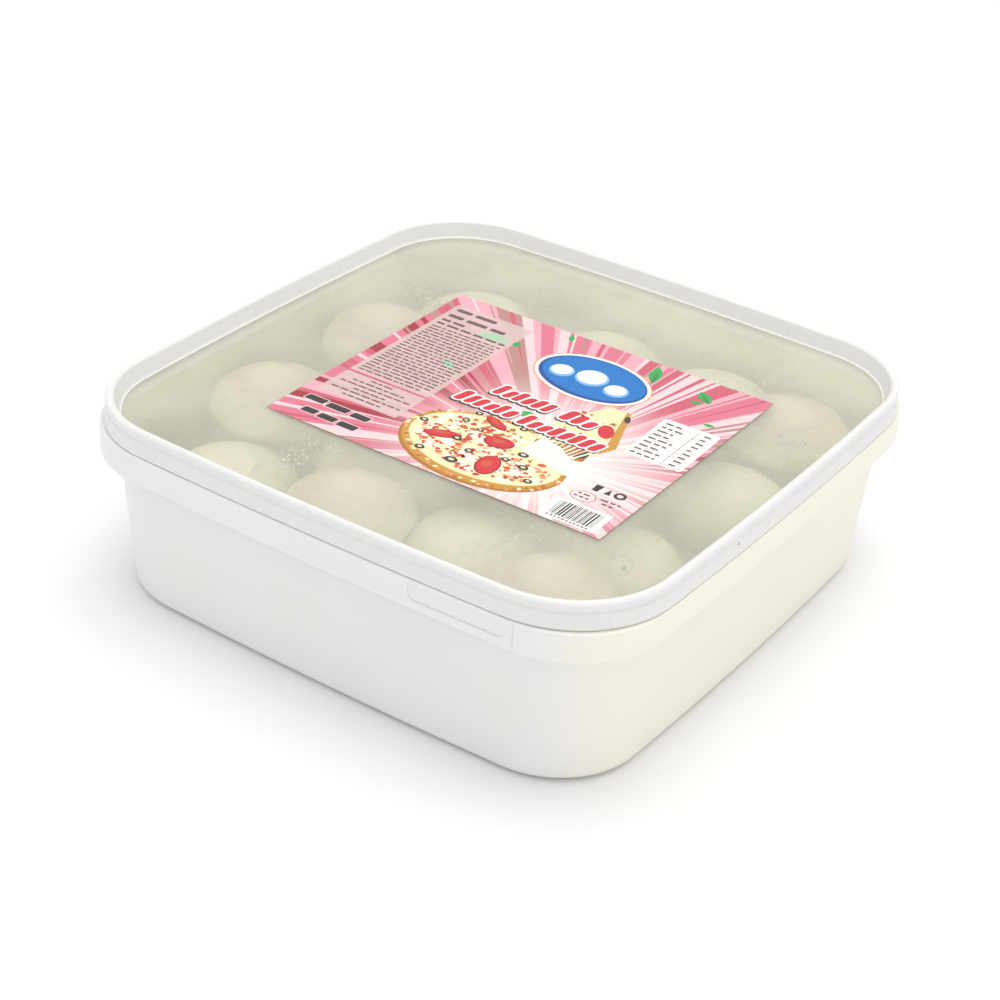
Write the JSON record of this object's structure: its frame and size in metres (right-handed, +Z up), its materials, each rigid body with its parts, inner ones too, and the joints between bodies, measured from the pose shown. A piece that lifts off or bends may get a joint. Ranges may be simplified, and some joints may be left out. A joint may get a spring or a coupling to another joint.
{
  "type": "tub of mozzarella balls",
  "caption": "Low square white plastic food tub with a press-on translucent lid and a plain printed label, filled with soft mozzarella balls in cloudy brine.",
  "frame": {"origin": "centre of the tub's base, on the surface that it stands on", "axes": "+Z up; the side with the tear-off tab faces -Y; the label reads towards +X"},
  "size_m": [0.2624, 0.2624, 0.087],
  "materials": {
    "white_polypropylene": "satin moulded plastic, slightly translucent",
    "natural_polypropylene": "translucent moulded plastic, hazy",
    "printed_label": "printed film in plain fields of colour",
    "mozzarella": "moist soft cheese, stands in for food",
    "cloudy_brine": "cloudy liquid"
  },
  "bodies": {
    "root": {"tub": "white_polypropylene", "lid": "natural_polypropylene", "label": "printed_label", "brine": "cloudy_brine", "mozzarella_ball_01": "mozzarella", "mozzarella_ball_02": "mozzarella", "mozzarella_ball_03": "mozzarella", "mozzarella_ball_04": "mozzarella", "mozzarella_ball_05": "mozzarella", "mozzarella_ball_06": "mozzarella", "mozzarella_ball_07": "mozzarella", "mozzarella_ball_08": "mozzarella", "mozzarella_ball_09": "mozzarella", "mozzarella_ball_10": "mozzarella", "mozzarella_ball_11": "mozzarella", "mozzarella_ball_12": "mozzarella", "mozzarella_ball_13": "mozzarella", "mozzarella_ball_14": "mozzarella", "mozzarella_ball_15": "mozzarella", "mozzarella_ball_16": "mozzarella"}
  },
  "joints": []
}
